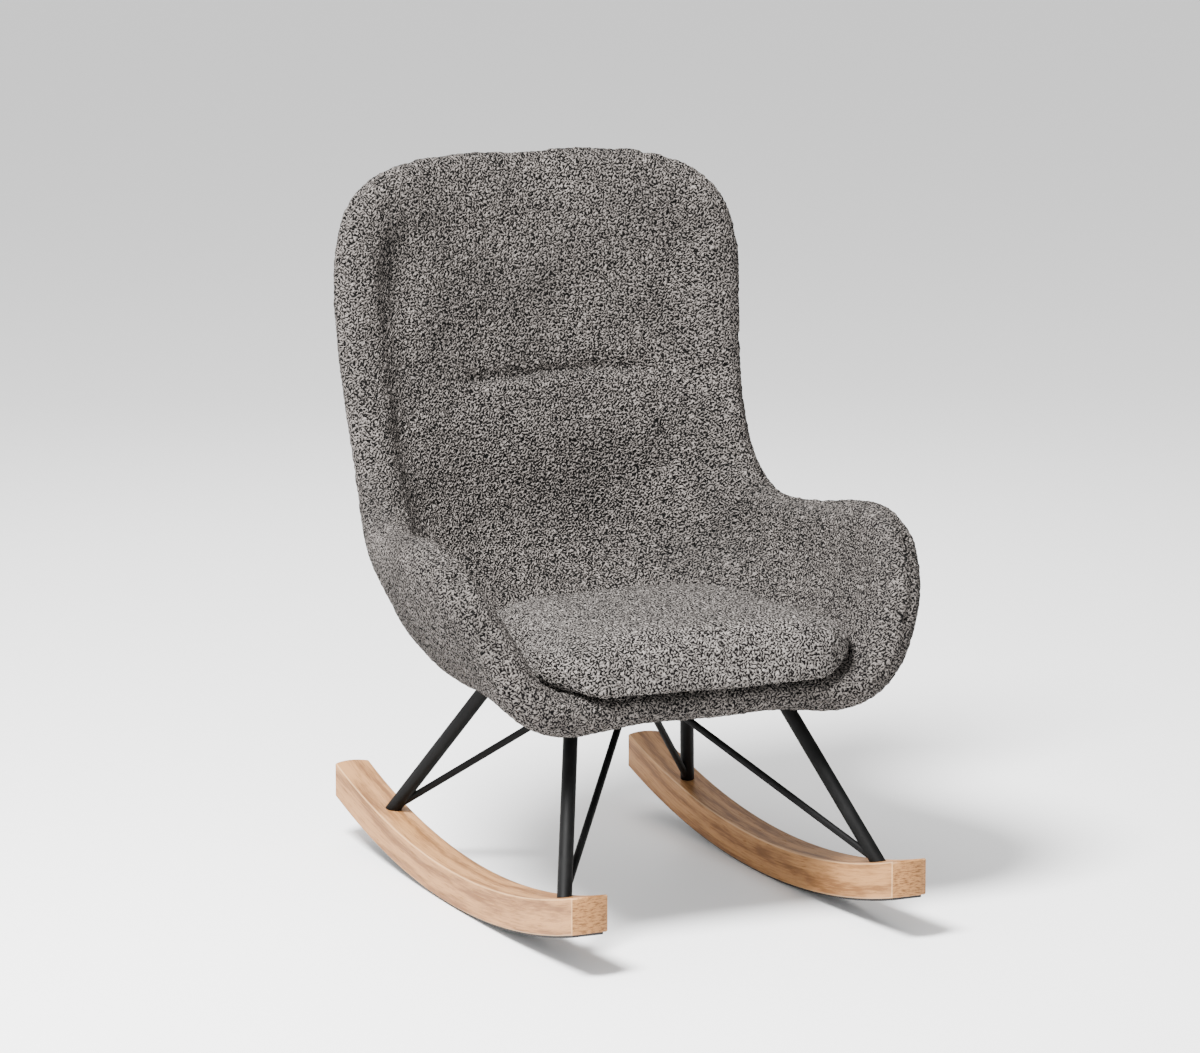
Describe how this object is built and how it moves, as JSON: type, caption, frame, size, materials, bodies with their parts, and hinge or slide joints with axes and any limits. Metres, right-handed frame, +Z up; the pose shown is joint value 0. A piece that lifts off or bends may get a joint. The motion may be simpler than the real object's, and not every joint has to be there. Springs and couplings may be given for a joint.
{
  "type": "rocking chair",
  "caption": "Upholstered bucket rocking chair on splayed tube legs, thin brace rods and bent oak rockers, with a loose lift-off seat cushion.",
  "frame": {"origin": "on the floor, midway between the two rockers' contact points, under the centre of the bounding box", "axes": "+Z up, -Y the way the chair faces, +X the sitter's left"},
  "size_m": [0.6956, 0.816, 0.9499],
  "materials": {
    "boucle_upholstery": "looped boucle, warm grey",
    "boucle_cushion": "looped boucle, warm grey",
    "foam": "polyurethane foam",
    "oak": "oiled oak",
    "shell_ply": "moulded plywood",
    "base_ply": "plywood",
    "black_powder_coat": "matte powder coat",
    "zinc_steel": "zinc plated",
    "strip_rubber": "matte",
    "spacer_plastic": "matte",
    "dust_cloth": "non-woven",
    "zip_tape": "woven tape",
    "zip_metal": "dark nickel"
  },
  "bodies": {
    "chair": {"leg_front_left": "black_powder_coat", "leg_front_right": "black_powder_coat", "leg_rear_left": "black_powder_coat", "leg_rear_right": "black_powder_coat", "brace_front_left": "black_powder_coat", "brace_front_right": "black_powder_coat", "brace_rear_left": "black_powder_coat", "brace_rear_right": "black_powder_coat", "frame_bar_front": "black_powder_coat", "frame_bar_rear": "black_powder_coat", "frame_spine": "black_powder_coat", "hub_plate": "black_powder_coat", "foot_studs": "zinc_steel", "foot_nuts": "zinc_steel", "foot_washers": "zinc_steel", "mount_bolts": "zinc_steel", "mount_washers": "zinc_steel", "tee_nuts": "zinc_steel", "dust_cover_staples": "zinc_steel", "mount_spacers": "spacer_plastic", "rocker_left": "oak", "rocker_right": "oak", "grip_strip_left": "strip_rubber", "grip_strip_right": "strip_rubber", "shell_core": "shell_ply", "base_board": "base_ply", "dust_cover": "dust_cloth", "inner_cover": "boucle_upholstery", "outer_cover": "boucle_upholstery", "inner_foam": "foam", "outer_foam": "foam"},
    "seat_cushion": {"cushion_foam": "foam", "cushion_cover": "boucle_cushion", "cushion_zip_tape": "zip_tape", "cushion_zip_slider": "zip_metal"}
  },
  "joints": [
    {"name": "cushion_lift", "type": "slide", "parent": "chair", "child": "seat_cushion", "axis": [0, 0, 1], "range_m": [0, 0.45]}
  ]
}
